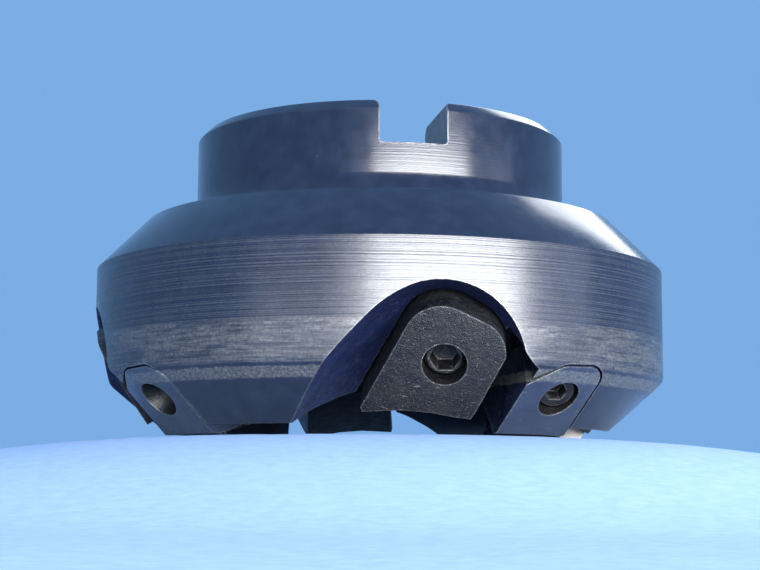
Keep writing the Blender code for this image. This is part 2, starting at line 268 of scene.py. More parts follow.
WEDGE_FRAME = face_matrix(place(WEDGE_R, WEDGE_AZIMUTH, WEDGE_Z), AXIS_AZIMUTH, AXIS_TILT)
PIN_FRAME = face_matrix(place(PIN_R, PIN_AZIMUTH, PIN_Z), PIN_AXIS_AZIMUTH, PIN_TILT)
SEAT_FRAME = seat_matrix()


def station_turn(index):
    return Matrix.Rotation(index * math.tau / STATIONS, 4, "Z")


def arc(centre, radius, start, end, count):
    steps = [math.radians(start + (end - start) * i / count) for i in range(count + 1)]
    return [(centre[0] + radius * math.cos(a), centre[1] + radius * math.sin(a)) for a in steps]


def rounded(points, radius, count=3):
    """Closed outline with every corner turned into a small arc."""
    result = []
    total = len(points)
    for i in range(total):
        corner = Vector(points[i])
        before = Vector(points[i - 1]) - corner
        after = Vector(points[(i + 1) % total]) - corner
        half = before.angle(after) / 2.0
        bend = math.pi - 2.0 * half
        if bend < math.radians(14.0):
            result.append(tuple(corner))
            continue
        reach = min(radius / math.tan(half), before.length * 0.45, after.length * 0.45)
        start = corner + before.normalized() * reach
        end = corner + after.normalized() * reach
        for k in range(count + 1):
            t = k / count
            point = start.lerp(corner, t).lerp(corner.lerp(end, t), t)
            result.append(tuple(point))
    return result


def mesh_object(name, work, frame):
    """Object whose mesh is the work mesh in millimetres, put in place in metres."""
    scaled = Matrix.Scale(MM, 4) @ frame
    work.transform(scaled)
    bmesh.ops.recalc_face_normals(work, faces=work.faces)
    mesh = bpy.data.meshes.new(name)
    work.to_mesh(mesh)
    work.free()
    item = bpy.data.objects.new(name, mesh)
    bpy.context.scene.collection.objects.link(item)
    return item


def prism(name, outline, low, high, frame):
    return loft(name, [(low, outline), (high, outline)], frame)


def loft(name, sections, frame):
    work = bmesh.new()
    rings = []
    for height, outline in sections:
        rings.append([work.verts.new((x, y, height)) for x, y in outline])
    count = len(rings[0])
    for upper, lower in zip(rings, rings[1:]):
        for i in range(count):
            j = (i + 1) % count
            work.faces.new((upper[i], upper[j], lower[j], lower[i]))
    work.faces.new(rings[0])
    work.faces.new(rings[-1])
    return mesh_object(name, work, frame)


def turned(name, profile, steps, frame, closed):
    """Profile of (radius, height) points turned about local Z."""
    work = bmesh.new()
    corners = [work.verts.new((radius, 0.0, height)) for radius, height in profile]
    edges = [work.edges.new(pair) for pair in zip(corners, corners[1:])]
    if closed:
        edges.append(work.edges.new((corners[-1], corners[0])))
    bmesh.ops.spin(
        work, geom=corners + edges, cent=(0.0, 0.0, 0.0), axis=(0.0, 0.0, 1.0),
        angle=math.tau, steps=steps,
    )
    bmesh.ops.remove_doubles(work, verts=work.verts, dist=0.0005)
    return mesh_object(name, work, frame)


def rod(name, radius, low, high, sides, frame):
    outline = arc((0.0, 0.0), radius, 0.0, 360.0 - 360.0 / sides, sides - 1)
    return prism(name, outline, low, high, frame)


def evaluated_mesh(item):
    depsgraph = bpy.context.evaluated_depsgraph_get()
    return bpy.data.meshes.new_from_object(item.evaluated_get(depsgraph))


def settle(item):
    """Applies the modifiers of an object to its mesh."""
    mesh = evaluated_mesh(item)
    item.modifiers.clear()
    old = item.data
    item.data = mesh
    bpy.data.meshes.remove(old)


def boolean(item, cutters, operation="DIFFERENCE"):
    for cutter in cutters:
        modifier = item.modifiers.new("cut", "BOOLEAN")
        modifier.operation = operation
        modifier.solver = "EXACT"
        modifier.object = cutter
    settle(item)
    for cutter in cutters:
        bpy.data.objects.remove(cutter, do_unlink=True)


def break_edges(item, width, segments=3, angle=32.0):
    bevel = item.modifiers.new("edges", "BEVEL")
    bevel.width = width * MM
    bevel.segments = segments
    bevel.limit_method = "ANGLE"
    bevel.angle_limit = math.radians(angle)
    bevel.harden_normals = False
    settle(item)


def shade(item, angle=32.0):
    item.data.shade_smooth()
    item.data.set_sharp_from_angle(angle=math.radians(angle))


def finish_piece(item, body, node, slot, *finishes):
    item.data.materials.clear()
    for finish in finishes:
        item.data.materials.append(finish)
    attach(item, body)
    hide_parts(node)


def paint_bore_shade(item, frame, radius, slot_index):
    """The wall of a bore along the frame's Z takes another of the piece's finishes: in use, the
    dark screw finish as painted shade inside the bore.
    """
    to_bore = frame.inverted()
    axis = frame.col[2].to_3d()
    for face in item.data.polygons:
        spot = to_bore @ (face.center / MM)
        if math.hypot(spot.x, spot.y) < radius + 0.1 and abs(face.normal.dot(axis)) < 0.3:
            face.material_index = slot_index


# Outlines shared by pieces and the rooms cut for them


def leaning_point(side, height):
    lean = math.radians(WEDGE_LEAN)
    return ((side + math.cos(lean) * height) / math.sin(lean), height)


def wedge_top(grow):
    lean = math.radians(WEDGE_LEAN)
    radius = WEDGE_CORNER_R + grow
    side = WEDGE_HALF - WEDGE_CORNER_R
    rise = WEDGE_TOP - WEDGE_CORNER_R
    points = []
    for offset, start in ((side, 0.0), (-side, 90.0)):
        centre_x = offset * math.sin(lean) + rise * math.cos(lean)
        centre_y = rise * math.sin(lean) - offset * math.cos(lean)
        first = start + WEDGE_LEAN - 90.0
        points += arc((centre_x, centre_y), radius, first, first + 90.0, 18)
    return points


def wedge_outline():
    return [*wedge_top(0.0), *WEDGE_FOOT]


def wedge_room_outline():
    half = WEDGE_HALF + GAP
    left = leaning_point(-half, WEDGE_ROOM_FOOT)
    right = leaning_point(half, WEDGE_ROOM_FOOT)
    return [*wedge_top(GAP), left, right]


def gullet_radius(height):
    """Radius of the gullet's outline at a height, smooth through its sections."""
    heights = [h for h, _ in reversed(GULLET_SECTION)]
    radii = [r for _, r in reversed(GULLET_SECTION)]
    slopes = np.gradient(radii, heights)
    k = int(np.clip(np.searchsorted(heights, height) - 1, 0, len(heights) - 2))
    span = heights[k + 1] - heights[k]
    t = (height - heights[k]) / span
    return (
        radii[k] * (1.0 + 2.0 * t) * (1.0 - t) ** 2
        + radii[k + 1] * t * t * (3.0 - 2.0 * t)
        + span * (slopes[k] * t * (1.0 - t) ** 2 - slopes[k + 1] * t * t * (1.0 - t))
    )


def gullet_outline(radius):
    lean = math.radians(GULLET_LEAN)
    points = arc(GULLET_CENTRE, radius, 0.0, GULLET_LEAN + 90.0, 44)
    last_x, last_y = points[-1]
    run = (last_y - GULLET_FOOT) / math.tan(lean)
    return [*points, (last_x - run, GULLET_FOOT), (GULLET_CENTRE[0] + radius, GULLET_FOOT)]


def locator_top(grow):
    back = LOCATOR_THICK + grow
    top = LOCATOR_TOP + grow
    radius = LOCATOR_CORNER_R + grow
    shoulder = arc((LOCATOR_SHOULDER, top - SHOULDER_R), SHOULDER_R, 128.0, 90.0, 8)
    corner = arc((back - radius, top - radius), radius, 90.0, 0.0, 14)
    return [*shoulder, *corner]


def locator_outline():
    return [(0.0, -CLEAR), (0.0, LOCATOR_FRONT_TOP), *locator_top(0.0), (LOCATOR_THICK, -CLEAR)]


def locator_room_outline():
    wall = LOCATOR_THICK + GAP
    return [(-1.0, -CLEAR), (-1.0, LOCATOR_FRONT_TOP + GAP), *locator_top(GAP), (wall, -CLEAR)]


def insert_slot_outline():
    left = -SLOT_WIDTH
    bend = (SLOT_BEND, SLOT_BEND_TOP)
    return [(left, -CLEAR), (GAP, -CLEAR), (GAP, SLOT_BACK_TOP), bend, (left, SLOT_FRONT_TOP)]


def worn_corner():
    """The rounded corner between the outside and the bevel under it, top first."""
    rise = WORN_ROUND * math.tan(math.radians(22.5))
    return arc((BODY_R - WORN_ROUND, BEVEL_TOP + rise), WORN_ROUND, 0.0, -45.0, 6)


def body_profile():
    fillet = arc((HUB_R + HUB_FILLET, LEDGE_Z + HUB_FILLET), HUB_FILLET, 180.0, 270.0, 10)
    rim_inner = RIM_R - RIM_WIDTH
    dish_top = RIM_Z + DISH_SLOPE * (rim_inner - COUNTERBORE_R)
    corners = [
        (BORE_R + BORE_CHAMFER, BODY_TOP),
        (HUB_R - HUB_CHAMFER, BODY_TOP),
        (HUB_R, BODY_TOP - HUB_CHAMFER),
        *fillet,
        (LEDGE_R, LEDGE_Z),
        (BODY_R, BAND_TOP),
        *worn_corner(),
        (RIM_R, RIM_Z),
        (rim_inner, RIM_Z),
        (COUNTERBORE_R, dish_top),
        (COUNTERBORE_R, COUNTERBORE_TOP),
        (BORE_R, COUNTERBORE_TOP),
        (BORE_R, BODY_TOP - BORE_CHAMFER),
    ]
    return rounded(corners, EDGE_ROUND)


# Body


def keyway_outline():
    """Slot section with rounded floor corners and an eased lip at the hub's top."""
    half = KEY_WIDTH / 2.0
    left_floor = arc((KEY_CORNER - half, KEY_FLOOR + KEY_CORNER), KEY_CORNER, 180.0, 270.0, 5)
    right_floor = arc((half - KEY_CORNER, KEY_FLOOR + KEY_CORNER), KEY_CORNER, 270.0, 360.0, 5)
    right_lip = arc((half + KEY_LIP, BODY_TOP - KEY_LIP), KEY_LIP, 180.0, 90.0, 6)
    left_lip = arc((-half - KEY_LIP, BODY_TOP - KEY_LIP), KEY_LIP, 90.0, 0.0, 6)
    over = BODY_TOP + CLEAR
    top = [(half + KEY_LIP, over), (-half - KEY_LIP, over)]
    return [*left_floor, *right_floor, *right_lip, *top, *left_lip]


def station_cutters(index):
    turn = station_turn(index)
    low = GULLET_SECTION[-1][0]
    high = GULLET_SECTION[0][0]
    heights = [high + (low - high) * i / GULLET_RINGS for i in range(GULLET_RINGS + 1)]
    sections = [(height, gullet_outline(gullet_radius(height))) for height in heights]
    wedge_floor = -WEDGE_DEPTH - WEDGE_TRAVEL_IN - GAP
    locator_floor = -LOCATOR_DEPTH - GAP
    return [
        loft("gullet", sections, turn @ WEDGE_FRAME),
        prism("wedge_room", wedge_room_outline(), wedge_floor, CLEAR, turn @ WEDGE_FRAME),
        prism("insert_room", insert_slot_outline(), SLOT_FLOOR, CLEAR, turn @ SEAT_FRAME),
        prism("locator_room", locator_room_outline(), locator_floor, CLEAR, turn @ SEAT_FRAME),
        rod("screw_hole", SCREW_BORE_R, -SCREW_END - TIP_ROOM, 0.0, 48, turn @ WEDGE_FRAME),
        rod("pin_hole", PIN_BORE_R, -PIN_END - TIP_ROOM, 0.0, 40, turn @ PIN_FRAME),
    ]


def profile_normals(profile):
    """Outward normal at both ends of each profile segment, shared where the profile is smooth."""
    points = np.array(profile)
    along = np.roll(points, -1, axis=0) - points
    length = np.linalg.norm(along, axis=1, keepdims=True)
    flat = np.stack([-along[:, 1], along[:, 0]], axis=1) / length
    after = np.roll(points, -1, axis=0)
    area = np.sum(points[:, 0] * after[:, 1] - after[:, 0] * points[:, 1])
    if area > 0.0:
        flat = -flat
    mean = flat + np.roll(flat, 1, axis=0)
    mean /= np.linalg.norm(mean, axis=1, keepdims=True)
    smooth = np.sum(flat * np.roll(flat, 1, axis=0), axis=1) > math.cos(math.radians(40.0))
    start = np.where(smooth[:, None], mean, flat)
    end_smooth = np.roll(smooth, -1)
    end = np.where(end_smooth[:, None], np.roll(mean, -1, axis=0), flat)
    return points, along, flat, start, end


def nearest_segment(points, along, radius, height):
    """For each (radius, height), the closest profile segment and its distance."""
    place_rz = np.stack([radius, height], axis=1)
    best = np.full(len(radius), 1e9)
    which = np.zeros(len(radius), int)
    for k in range(len(points)):
        size = np.dot(along[k], along[k])
        t = np.clip((place_rz - points[k]) @ along[k] / size, 0.0, 1.0)
        gap = np.linalg.norm(place_rz - points[k] - t[:, None] * along[k], axis=1)
        closer = gap < best
        best[closer] = gap[closer]
        which[closer] = k
    return which, best


def gullet_field(local):
    """Outline radius through each point of the gullet's frame, and its direction."""
    offset = local[:, :2] - np.array(GULLET_CENTRE)
    side = math.radians(GULLET_LEAN + 90.0)
    leaning = np.array((math.cos(side), math.sin(side)))
    angle = np.arctan2(offset[:, 1], offset[:, 0])
    length = np.linalg.norm(offset, axis=1)
    on_arc = (angle >= 0.0) & (angle <= side)
    left = offset @ leaning
    right = offset[:, 0]
    distance = np.where(on_arc, length, np.maximum(left, right))
    radial = offset / np.maximum(length, 1e-9)[:, None]
    straight = np.where((left > right)[:, None], leaning, np.array((1.0, 0.0)))
    return distance, np.where(on_arc[:, None], radial, straight)


def body_normals(mesh, profile):
    """Exact normals on the turned and gullet surfaces; returns each face's kind.

    Kinds: 0 turned, 1 gullet, 2 pocket, 3 keyway.
    """
    count = len(mesh.polygons)
    centres = np.zeros(count * 3)
    mesh.polygons.foreach_get("center", centres)
    centres = centres.reshape(-1, 3) / MM
    facing = np.zeros(count * 3)
    mesh.polygons.foreach_get("normal", facing)
    facing = facing.reshape(-1, 3)
    corners = np.zeros(len(mesh.vertices) * 3)
    mesh.vertices.foreach_get("co", corners)
    corners = corners.reshape(-1, 3) / MM
    loop_vertex = np.zeros(len(mesh.loops), int)
    mesh.loops.foreach_get("vertex_index", loop_vertex)
    loop_face = np.zeros(len(mesh.loops), int)
    for face in mesh.polygons:
        loop_face[face.loop_start : face.loop_start + face.loop_total] = face.index
    normals = np.zeros(len(mesh.loops) * 3)
    mesh.corner_normals.foreach_get("vector", normals)
    normals = normals.reshape(-1, 3)
    kinds = np.full(count, 2)

    points, along, flat, start, end = profile_normals(profile)
    radius = np.linalg.norm(centres[:, :2], axis=1)
    which, gap = nearest_segment(points, along, radius, centres[:, 2])
    spoke = centres[:, :2] / radius[:, None]
    expected = np.concatenate([spoke * flat[which][:, :1], flat[which][:, 1:]], axis=1)
    is_turned = (gap < 0.06) & (np.sum(expected * facing, axis=1) > 0.97)
    kinds[is_turned] = 0
    chosen = is_turned[loop_face]
    segment = which[loop_face[chosen]]
    spots = corners[loop_vertex[chosen]]
    spot_r = np.linalg.norm(spots[:, :2], axis=1)
    rz = np.stack([spot_r, spots[:, 2]], axis=1)
    size = np.sum(along[segment] ** 2, axis=1)
    t = np.clip(np.sum((rz - points[segment]) * along[segment], axis=1) / size, 0.0, 1.0)[:, None]
    blend = start[segment] * (1.0 - t) + end[segment] * t
    blend /= np.linalg.norm(blend, axis=1, keepdims=True)
    spoke = spots[:, :2] / np.maximum(spot_r, 1e-9)[:, None]
    normals[chosen] = np.concatenate([spoke * blend[:, :1], blend[:, 1:]], axis=1)

    low = GULLET_SECTION[-1][0]
    high = GULLET_SECTION[0][0]
    for index in range(STATIONS):
        frame = np.array(station_turn(index) @ WEDGE_FRAME)
        local = (centres - frame[:3, 3]) @ frame[:3, :3]
        distance, _ = gullet_field(local)
        inside = (local[:, 2] > low + 0.05) & (local[:, 2] < high)
        inside &= (distance < GULLET_REACH) & (kinds == 2)
        candidates = np.nonzero(inside)[0]
        radii = np.array([gullet_radius(h) for h in local[candidates, 2]])
        near = np.abs(distance[candidates] - radii) < 0.12 if len(candidates) else np.zeros(0, bool)
        found = candidates[near]
        kinds[found] = 1
        mask = np.zeros(count, bool)
        mask[found] = True
        chosen = np.nonzero(mask[loop_face])[0]
        spots = (corners[loop_vertex[chosen]] - frame[:3, 3]) @ frame[:3, :3]
        _, outward = gullet_field(spots)
        step = 0.15
        heights = np.clip(spots[:, 2], low + step, high - step)
        above = np.array([gullet_radius(h + step) for h in heights])
        below = np.array([gullet_radius(h - step) for h in heights])
        slope = (above - below) / (2.0 * step)
        exact = -np.concatenate([outward, -slope[:, None]], axis=1)
        exact /= np.linalg.norm(exact, axis=1, keepdims=True)
        exact = exact @ frame[:3, :3].T
        agree = np.sum(exact * facing[loop_face[chosen]], axis=1) > 0.9
        normals[chosen[agree]] = exact[agree]

    in_key = (centres[:, 2] > KEY_FLOOR - 0.1) & (kinds == 2)
    in_key &= np.abs(centres[:, 0]) < KEY_WIDTH / 2.0 + KEY_LIP
    kinds[in_key] = 3
    return kinds, normals


def make_body(finishes):
    profile = body_profile()
    item = turned("mill_body", profile, BODY_STEPS, Matrix.Identity(4), True)
    upright = Matrix(((1.0, 0.0, 0.0), (0.0, 0.0, -1.0), (0.0, 1.0, 0.0))).to_4x4()
    cutters = [prism("keyway", keyway_outline(), -2.0 * HUB_R, 2.0 * HUB_R, upright)]
    for index in range(STATIONS):
        cutters += station_cutters(index)
    boolean(item, cutters)
    shade(item, 28.0)
    kinds, normals = body_normals(item.data, profile)
    finish_piece(item, "cutter", "cutter_body", "blackened_steel", *finishes)
    item.data.polygons.foreach_set("material_index", kinds.astype(np.int32))
    item.data.normals_split_custom_set([tuple(n) for n in normals])


# Wedges, locators, screws and the insert


def make_wedge(index, finish, bore_shade_finish):
    turn = station_turn(index)
    number = index + 1
    wedge = prism(f"wedge_piece_{number}", wedge_outline(), -WEDGE_DEPTH, 0.0, turn @ WEDGE_FRAME)
    near = -INSERT_THICK - 2.0 * INSERT_GAP
    far = near + TRIM_SPAN
    outline = [(near, -TRIM_SPAN), (far, -TRIM_SPAN), (far, TRIM_SPAN), (near, TRIM_SPAN)]
    boolean(wedge, [prism("trim", outline, -TRIM_SPAN, TRIM_SPAN, turn @ SEAT_FRAME)])
    break_edges(wedge, WEDGE_EDGE)
    boolean(wedge, [rod("bore", SCREW_BORE_R, -WEDGE_DEPTH - CLEAR, CLEAR, 64, turn @ WEDGE_FRAME)])
    shade(wedge)
    body = f"clamp_wedge_{number}"
    finish_piece(wedge, body, body, "wedge_steel", finish, bore_shade_finish)
    # The bore wall gets the dark screw finish: painted shade inside the bore.
    paint_bore_shade(wedge, turn @ WEDGE_FRAME, SCREW_BORE_R, 1)


def hex_outline(across_flats):
    return arc((0.0, 0.0), across_flats / math.sqrt(3.0), 0.0, 300.0, 5)


def make_wedge_screw(index, finish):
    turn = station_turn(index)
    number = index + 1
    chamfer = 0.4
    top = -SCREW_RECESS
    profile = [
        (0.0, top),
        (SCREW_R - chamfer, top),
        (SCREW_R, top - chamfer),
        (SCREW_R, -9.0),
        (SCREW_NECK_R, -9.5),
        (SCREW_NECK_R, -11.0),
        (SCREW_R, -11.5),
        (SCREW_R, -SCREW_END + chamfer),
        (SCREW_R - chamfer, -SCREW_END),
        (0.0, -SCREW_END),
    ]
    screw = turned(f"wedge_screw_piece_{number}", profile, 64, turn @ WEDGE_FRAME, False)
    wide = [(x * 1.18, y * 1.18) for x, y in hex_outline(SCREW_HEX)]
    plain = hex_outline(SCREW_HEX)
    narrow = [(x * 0.08, y * 0.08) for x, y in plain]
    socket = [(top + 0.3, wide), (top - 0.25, plain), (top - 3.0, plain), (top - 3.5, narrow)]
    boolean(screw, [loft("socket", socket, turn @ WEDGE_FRAME)])
    shade(screw)
    finish_piece(screw, f"wedge_screw_{number}", f"wedge_screw_{number}", "screw_steel", finish)


def locator_ring():
    inner = 20.0
    flat_inner = LOCATOR_LOW_R - 1.1
    return [
        (inner, 24.0),
        (BODY_R, 24.0),
        *worn_corner(),
        (LOCATOR_LOW_R, 0.0),
        (flat_inner, 0.0),
        (inner, DISH_SLOPE * (flat_inner - inner)),
    ]


def make_locator(index, finish, bore_shade_finish):
    turn = station_turn(index)
    number = index + 1
    frame = turn @ SEAT_FRAME
    locator = prism(f"locator_piece_{number}", locator_outline(), -LOCATOR_DEPTH, CLEAR, frame)
    ring = turned("ring", locator_ring(), BODY_STEPS, Matrix.Identity(4), True)
    boolean(locator, [ring], "INTERSECT")
    break_edges(locator, LOCATOR_EDGE, 2)
    bores = [
        rod("head_bore", PIN_HEAD_BORE_R, -PIN_HEAD_END - GAP, CLEAR, 64, turn @ PIN_FRAME),
        rod("shank_bore", PIN_BORE_R, -PIN_END - CLEAR, CLEAR, 40, turn @ PIN_FRAME),
    ]
    boolean(locator, bores)
    shade(locator)
    finish_piece(locator, "cutter", f"locator_{number}", "locator_steel", finish, bore_shade_finish)
    # The bore wall gets the dark screw finish: painted shade inside the bore.
    paint_bore_shade(locator, turn @ PIN_FRAME, PIN_HEAD_BORE_R, 1)


def make_locator_screw(index, finish):
    turn = station_turn(index)
    number = index + 1
    chamfer = 0.3
    profile = [
        (0.0, -PIN_RECESS),
        (PIN_HEAD_R - chamfer, -PIN_RECESS),
        (PIN_HEAD_R, -PIN_RECESS - chamfer),
        (PIN_HEAD_R, -PIN_HEAD_END),
        (PIN_SHANK_R, -PIN_HEAD_END),
        (PIN_SHANK_R, -PIN_END + chamfer),
        (PIN_SHANK_R - chamfer, -PIN_END),
        (0.0, -PIN_END),
    ]
    screw = turned(f"locator_screw_piece_{number}", profile, 64, turn @ PIN_FRAME, False)
    plain = hex_outline(PIN_HEX)
    wide = [(x * 1.2, y * 1.2) for x, y in plain]
    socket = [(-PIN_RECESS + 0.3, wide), (-PIN_RECESS - 0.2, plain), (-PIN_RECESS - 1.8, plain)]
    boolean(screw, [loft("socket", socket, turn @ PIN_FRAME)])
    shade(screw)
    finish_piece(screw, "cutter", f"locator_screw_{number}", "locator_screw_steel", finish)


def insert_section(half):
    centre_y = INSERT_LOW + INSERT_SIDE / 2.0
    centre_z = INSERT_OUT - INSERT_SIDE / 2.0
    near = half - INSERT_CORNER
    corners = [
        (near, half), (-near, half), (-half, near), (-half, -near),
        (-near, -half), (near, -half), (half, -near), (half, near),
    ]
    return rounded([(centre_y + y, centre_z + z) for y, z in corners], 0.5, 4)


def make_insert(finish):
    """Square insert: honed rake edge, cleared sides, flat back."""
    half = INSERT_SIDE / 2.0
    hone = 0.06
    slope = math.tan(math.radians(INSERT_CLEARANCE))
    rake = -INSERT_GAP - INSERT_THICK
    back = -INSERT_GAP
    sections = [
        (rake, insert_section(half - 2.0 * hone)),
        (rake + 0.3 * hone, insert_section(half - 0.6 * hone)),
        (rake + hone, insert_section(half)),
        (back - hone, insert_section(half - (INSERT_THICK - hone) * slope)),
        (back, insert_section(half - INSERT_THICK * slope - hone)),
    ]
    upright = Matrix(((0.0, 0.0, 1.0), (1.0, 0.0, 0.0), (0.0, 1.0, 0.0))).to_4x4()
    frame = station_turn(INSERT_STATION) @ SEAT_FRAME @ upright
    insert = loft("insert_piece", sections, frame)
    shade(insert, 24.0)
    finish_piece(insert, "cutter", "carbide_insert", "carbide", finish)


# Materials


def node(tree, kind, inputs=None, **settings):
    made = tree.nodes.new(kind)
    for key, value in settings.items():
        setattr(made, key, value)
    for key, value in (inputs or {}).items():
        if isinstance(value, bpy.types.NodeSocket):
            tree.links.new(value, made.inputs[key])
        else:
            made.inputs[key].default_value = value
    return made


def maths(tree, operation, first, second=0.0):
    return node(tree, "ShaderNodeMath", {0: first, 1: second}, operation=operation).outputs[0]


def span(tree, value, low, high, out_low=0.0, out_high=1.0):
    inputs = {"Value": value, "From Min": low, "From Max": high}
    inputs |= {"To Min": out_low, "To Max": out_high}
    return node(tree, "ShaderNodeMapRange", inputs, interpolation_type="SMOOTHSTEP").outputs[0]


def noise(tree, vector, scale, detail=3.0, roughness=0.55):
    inputs = {"Vector": vector, "Scale": scale, "Detail": detail, "Roughness": roughness}
    return node(tree, "ShaderNodeTexNoise", inputs).outputs[0]


def mix_colour(tree, factor, first, second):
    made = node(tree, "ShaderNodeMix", {"Factor": factor}, data_type="RGBA")
    for key, value in ((6, first), (7, second)):
        if isinstance(value, bpy.types.NodeSocket):
            tree.links.new(value, made.inputs[key])
        else:
            made.inputs[key].default_value = (*value, 1.0)
    return made.outputs[2]


def mix_value(tree, factor, first, second):
    inputs = {"Factor": factor, 2: first, 3: second}
    return node(tree, "ShaderNodeMix", inputs, data_type="FLOAT").outputs[0]


def millimetres(tree):
    """Place on the object, in millimetres."""
    spot = node(tree, "ShaderNodeTexCoord").outputs["Object"]
    return stretched(tree, spot, (1000.0, 1000.0, 1000.0))


def stretched(tree, spot, factors):
    inputs = {0: spot, 1: factors}
    return node(tree, "ShaderNodeVectorMath", inputs, operation="MULTIPLY").outputs[0]


def edge_mask(tree, radius, low, high):
    """1 on worn convex and concave edges: where a rounded normal leaves the surface's own."""
    soft = node(tree, "ShaderNodeBevel", {"Radius": radius * MM}, samples=6).outputs[0]
    plain = node(tree, "ShaderNodeNewGeometry").outputs["Normal"]
    dot = node(tree, "ShaderNodeVectorMath", {0: soft, 1: plain}, operation="DOT_PRODUCT")
    return span(tree, maths(tree, "SUBTRACT", 1.0, dot.outputs["Value"]), low, high)


def surface_reach(tree, spot):
    """Height and radius of a place on the turned body, in millimetres."""
    parts = node(tree, "ShaderNodeSeparateXYZ", {0: spot}).outputs
    flat = node(tree, "ShaderNodeCombineXYZ", {0: parts[0], 1: parts[1]}).outputs[0]
    radius = node(tree, "ShaderNodeVectorMath", {0: flat}, operation="LENGTH").outputs["Value"]
    return parts[2], radius


def steel(
    name, coat, bare, wear, height, coat_rough=(0.13, 0.19), bare_rough=(0.32, 0.46),
    depth=0.02, ior=1.62, matt=None,
):
    """Dark coating over bare steel.

    wear(tree, spot) is 1 where the coating has gone, and matt(tree, spot) adds roughness.
    """
    finish = bpy.data.materials.new(name)
    finish.use_nodes = True
    tree = finish.node_tree
    shader = tree.nodes["Principled BSDF"]
    spot = millimetres(tree)
    worn = wear(tree, spot)
    blotch = noise(tree, spot, 0.35, 4.0)
    coat_colour = mix_colour(tree, span(tree, blotch, 0.35, 0.7), coat[0], coat[1])
    patch = span(tree, noise(tree, spot, 2.6, 3.0), 0.3, 0.7)
    bare_colour = mix_colour(tree, patch, bare[0], bare[1])
    grain = noise(tree, spot, 0.5, 6.0, 0.7)
    coat_value = span(tree, grain, 0.3, 0.7, *coat_rough)
    if matt:
        coat_value = maths(tree, "ADD", coat_value, matt(tree, spot))
    bare_value = span(tree, grain, 0.3, 0.7, *bare_rough)
    tree.links.new(mix_colour(tree, worn, coat_colour, bare_colour), shader.inputs["Base Color"])
    tree.links.new(mix_value(tree, worn, coat_value, bare_value), shader.inputs["Roughness"])
    tree.links.new(worn, shader.inputs["Metallic"])
    shader.inputs["IOR"].default_value = ior
    soft = node(tree, "ShaderNodeBevel", {"Radius": 0.12 * MM}, samples=4).outputs[0]
    inputs = {"Strength": 1.0, "Distance": depth * MM, "Height": height(tree, spot), "Normal": soft}
    bump = node(tree, "ShaderNodeBump", inputs)
    tree.links.new(bump.outputs[0], shader.inputs["Normal"])
    return finish


def speckle(tree, spot, scale, low, high):
    return span(tree, noise(tree, spot, scale, 4.0, 0.7), low, high)


def scratches(tree, spot, factors, low, high):
    """Thin marks drawn out along the axis that has the smallest factor."""
    return span(tree, noise(tree, stretched(tree, spot, factors), 1.0, 2.0, 0.5), low, high)


def worn_lip(tree, spot, height):
    """The ragged strip along the top of the bevel, rubbed bare by chips."""
    wander = maths(tree, "MULTIPLY", noise(tree, spot, 0.8, 4.0, 0.7), 0.7)
    ragged = maths(tree, "ADD", height, wander)
    strip = maths(tree, "MULTIPLY", span(tree, ragged, *LIP_TOP), span(tree, ragged, *LIP_FOOT))
    grain = speckle(tree, stretched(tree, spot, (1.0, 1.0, 1.6)), 2.2, 0.40, 0.62)
    amount = maths(tree, "ADD", maths(tree, "MULTIPLY", grain, 0.7), 0.3)
    return maths(tree, "MULTIPLY", strip, amount)


def turned_line(tree, height, radius):
    """Lines left by turning, by distance along the profile: height plus a part of the radius."""
    reach = maths(tree, "ADD", height, maths(tree, "MULTIPLY", radius, 0.8))
    inputs = {"W": reach, "Scale": 4.6, "Detail": 0.5}
    return node(tree, "ShaderNodeTexNoise", inputs, noise_dimensions="1D").outputs[0]


def turned_wear(tree, spot):
    z, radius = surface_reach(tree, spot)
    broken = speckle(tree, spot, 0.9, 0.30, 0.56)
    edges = maths(tree, "MULTIPLY", edge_mask(tree, 0.35, 0.01, 0.07), broken)
    outer = span(tree, radius, *OUTER_R)
    band = maths(tree, "MULTIPLY", span(tree, z, 25.0, 24.9), span(tree, z, 8.6, 8.8))
    lines = maths(tree, "MULTIPLY", span(tree, turned_line(tree, z, radius), 0.46, 0.62), band)
    rubbed = maths(tree, "MULTIPLY", span(tree, z, *RUBBED_TOP), span(tree, z, *RUBBED_FOOT))
    streaks = noise(tree, stretched(tree, spot, (0.22, 0.22, 2.4)), 1.0, 5.0, 0.65)
    smudges = noise(tree, stretched(tree, spot, (0.07, 0.07, 0.3)), 1.0, 3.0, 0.6)
    rubbed = maths(tree, "MULTIPLY", rubbed, span(tree, streaks, 0.30, 0.66))
    rubbed = maths(tree, "MULTIPLY", rubbed, span(tree, smudges, 0.36, 0.58, 0.25, 1.15))
    lines = maths(tree, "MULTIPLY", lines, 0.10)
    total = maths(tree, "ADD", lines, maths(tree, "MULTIPLY", rubbed, 0.36))
    total = maths(tree, "ADD", total, maths(tree, "MULTIPLY", worn_lip(tree, spot, z), 0.9))
    total = maths(tree, "MULTIPLY", total, outer)
    total = maths(tree, "ADD", total, maths(tree, "MULTIPLY", edges, 0.8))
    dust = maths(tree, "MULTIPLY", speckle(tree, spot, 3.0, 0.67, 0.74), 0.35)
    return node(tree, "ShaderNodeClamp", {"Value": maths(tree, "ADD", total, dust)}).outputs[0]


def band_matt(tree, spot):
    """The band is turned more coarsely than the hub."""
    z, radius = surface_reach(tree, spot)
    band = maths(tree, "MULTIPLY", span(tree, z, 25.2, 24.8), span(tree, radius, 40.0, 41.0))
    return maths(tree, "MULTIPLY", band, maths(tree, "MULTIPLY", turned_line(tree, z, radius), 0.2))


